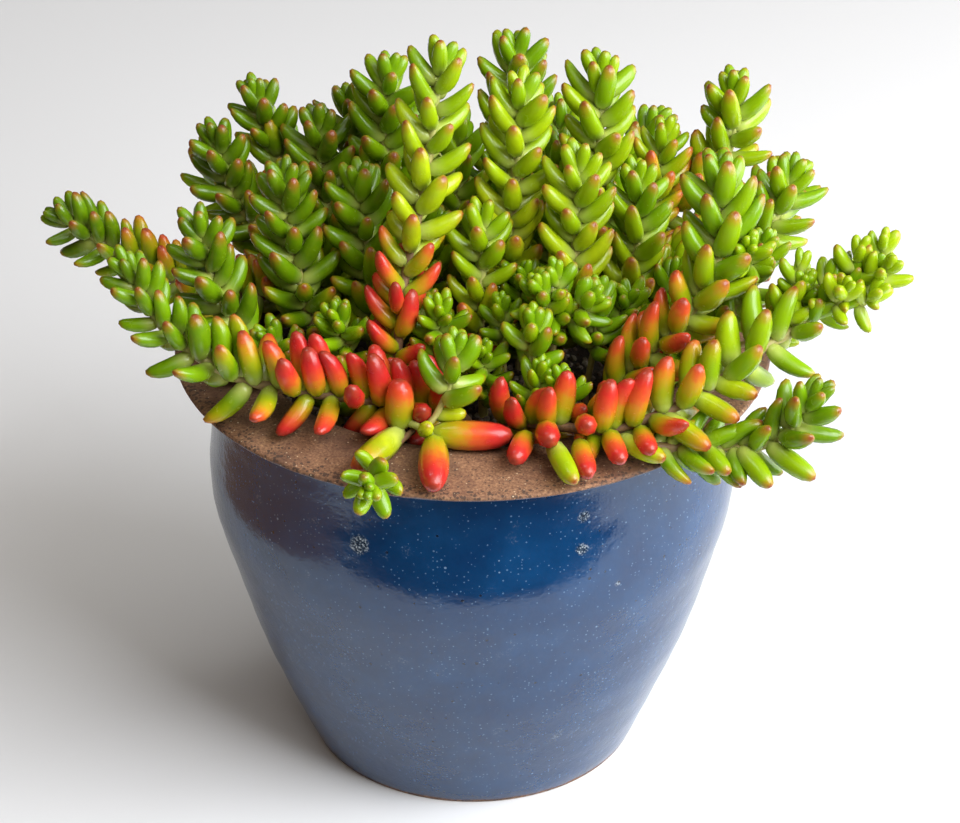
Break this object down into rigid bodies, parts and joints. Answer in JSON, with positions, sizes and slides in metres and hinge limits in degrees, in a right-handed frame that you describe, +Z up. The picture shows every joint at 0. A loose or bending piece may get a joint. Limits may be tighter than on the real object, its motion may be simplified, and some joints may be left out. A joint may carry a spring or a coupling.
{
  "type": "potted jelly bean plant",
  "caption": "Bushy succulent with plump bean-shaped leaves on branching stems, in a round glazed stoneware pot with a broad bare collar.",
  "frame": {"origin": "middle of the pot's flat foot, on the surface that the pot stands on, on the pot's own axis", "axes": "+Z up along the pot's axis; the side that is looked at faces -Y, with +X to its right"},
  "size_m": [0.3111, 0.2719, 0.306],
  "materials": {
    "glazed_stoneware": "glossy cobalt glaze with pale specks, over a matt brown bare collar",
    "potting_mix": "dry crumbly potting mix with grit and bark",
    "succulent_leaf": "waxy gloss, green with red-brown tips, sun-blushed from yellow to red on the older stems"
  },
  "bodies": {
    "root": {"pot": "glazed_stoneware", "soil": "potting_mix", "stem_back_left": "succulent_leaf", "stem_back_top": "succulent_leaf", "stem_bare_left": "succulent_leaf", "stem_bud_front": "succulent_leaf", "stem_bud_right": "succulent_leaf", "stem_bud_shade": "succulent_leaf", "stem_bud_upper": "succulent_leaf", "stem_core_back": "succulent_leaf", "stem_core_right": "succulent_leaf", "stem_far_back": "succulent_leaf", "stem_far_left": "succulent_leaf", "stem_inner_left": "succulent_leaf", "stem_left_back": "succulent_leaf", "stem_left_front": "succulent_leaf", "stem_left_inner": "succulent_leaf", "stem_left_middle": "succulent_leaf", "stem_low_right": "succulent_leaf", "stem_middle": "succulent_leaf", "stem_old_front": "succulent_leaf", "stem_rear_a": "succulent_leaf", "stem_rear_b": "succulent_leaf", "stem_rear_c": "succulent_leaf", "stem_rear_d": "succulent_leaf", "stem_rear_inner": "succulent_leaf", "stem_rear_left": "succulent_leaf", "stem_rear_right": "succulent_leaf", "stem_rear_shade": "succulent_leaf", "stem_right_back": "succulent_leaf", "stem_right_cluster": "succulent_leaf", "stem_right_comb": "succulent_leaf", "stem_right_front": "succulent_leaf", "stem_right_inner": "succulent_leaf", "stem_right_low": "succulent_leaf", "stem_right_middle": "succulent_leaf", "stem_right_outer": "succulent_leaf", "stem_right_spur": "succulent_leaf", "stem_right_tall": "succulent_leaf", "stem_shade_back": "succulent_leaf", "stem_shade_left": "succulent_leaf", "stem_tall": "succulent_leaf", "stem_top": "succulent_leaf"}
  },
  "joints": []
}
